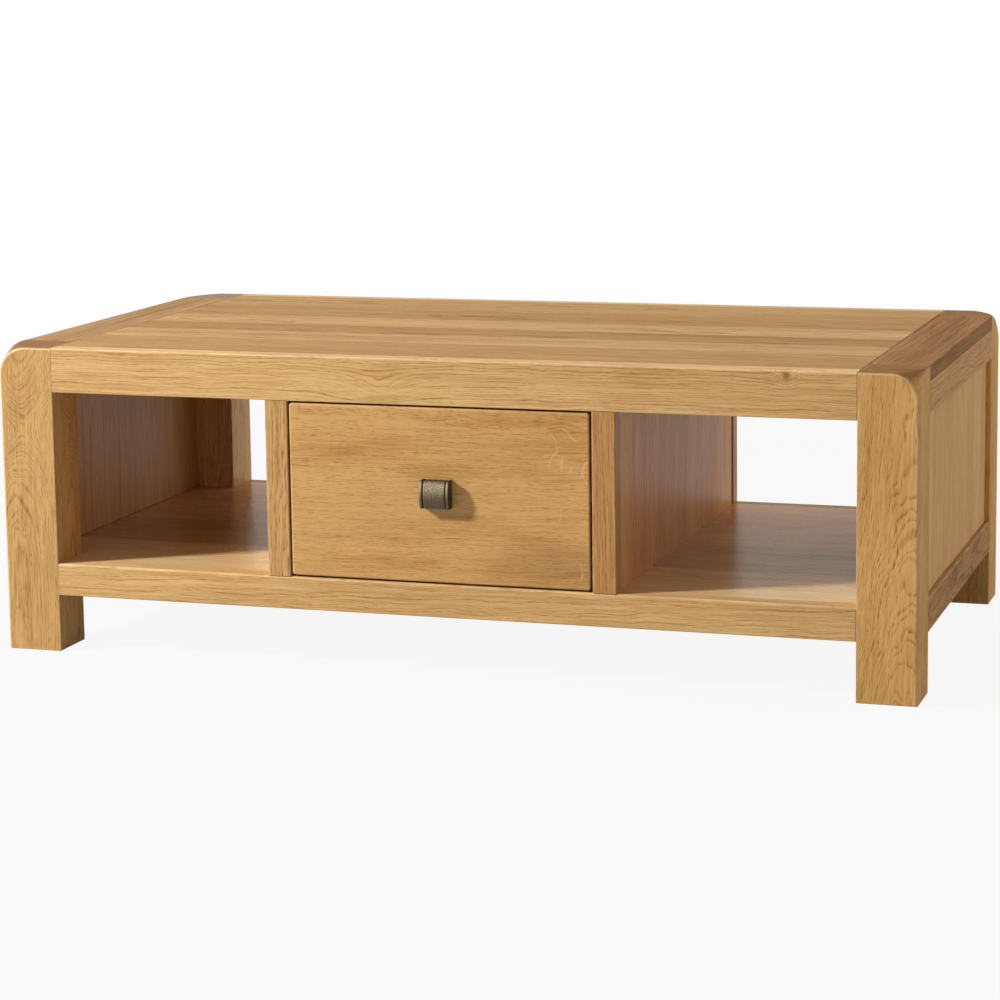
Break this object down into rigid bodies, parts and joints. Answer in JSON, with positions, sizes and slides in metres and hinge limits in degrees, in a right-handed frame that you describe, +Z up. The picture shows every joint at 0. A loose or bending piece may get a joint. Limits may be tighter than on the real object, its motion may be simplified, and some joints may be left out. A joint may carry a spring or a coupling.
{
  "type": "coffee table with drawers",
  "caption": "Low rectangular oak coffee table with a boarded top, rounded leg heads, a lower shelf, open bays at both ends and middle drawers with cast knobs.",
  "frame": {"origin": "on the floor, under the middle of the table", "axes": "+X along the length to the right as seen from the front, +Y from front to rear, +Z up"},
  "size_m": [1.2, 0.683, 0.4],
  "materials": {
    "oak_frame": "satin lacquered oak",
    "oak_top": "satin lacquered oak",
    "oak_panel": "satin lacquered oak",
    "oak_shelf": "satin lacquered oak",
    "oak_drawer_face": "satin lacquered oak",
    "drawer_lining": "pale sanded wood",
    "batten_wood": "planed hardwood",
    "knob_pewter": "antique pewter on cast metal",
    "screw_steel": "zinc plated"
  },
  "bodies": {
    "frame": {"bottom_rail_front": "oak_frame", "bottom_rail_rear": "oak_frame", "divider_panel_left": "oak_panel", "divider_panel_right": "oak_panel", "divider_stile_front_left": "oak_frame", "divider_stile_front_right": "oak_frame", "divider_stile_rear_left": "oak_frame", "divider_stile_rear_right": "oak_frame", "drawer_runner_front_left": "batten_wood", "drawer_runner_front_right": "batten_wood", "drawer_runner_rear_left": "batten_wood", "drawer_runner_rear_right": "batten_wood", "drawer_stop": "batten_wood", "end_bottom_rail_left": "oak_frame", "end_bottom_rail_right": "oak_frame", "end_cap_left": "oak_top", "end_cap_right": "oak_top", "end_panel_left": "oak_panel", "end_panel_right": "oak_panel", "end_top_rail_left": "oak_frame", "end_top_rail_right": "oak_frame", "leg_front_left": "oak_frame", "leg_front_right": "oak_frame", "leg_rear_left": "oak_frame", "leg_rear_right": "oak_frame", "runner_screws": "screw_steel", "shelf_board_1": "oak_shelf", "shelf_board_2": "oak_shelf", "shelf_board_3": "oak_shelf", "shelf_board_4": "oak_shelf", "shelf_cleat_front": "batten_wood", "shelf_cleat_rear": "batten_wood", "top_board_1": "oak_top", "top_board_2": "oak_top", "top_board_3": "oak_top", "top_board_4": "oak_top", "top_board_5": "oak_top", "top_board_6": "oak_top", "top_rail_front": "oak_frame", "top_rail_rear": "oak_frame"},
    "front_drawer": {"front_drawer_back": "drawer_lining", "front_drawer_base": "drawer_lining", "front_drawer_face": "oak_drawer_face", "front_drawer_knob": "knob_pewter", "front_drawer_knob_bolt": "screw_steel", "front_drawer_side_left": "drawer_lining", "front_drawer_side_right": "drawer_lining"},
    "rear_drawer": {"rear_drawer_back": "drawer_lining", "rear_drawer_base": "drawer_lining", "rear_drawer_face": "oak_drawer_face", "rear_drawer_knob": "knob_pewter", "rear_drawer_knob_bolt": "screw_steel", "rear_drawer_side_left": "drawer_lining", "rear_drawer_side_right": "drawer_lining"}
  },
  "joints": [
    {"name": "front_drawer_slide", "type": "slide", "parent": "frame", "child": "front_drawer", "axis": [0, -1, 0], "range_m": [0, 0.22]},
    {"name": "rear_drawer_slide", "type": "slide", "parent": "frame", "child": "rear_drawer", "axis": [0, 1, 0], "range_m": [0, 0.22]}
  ]
}
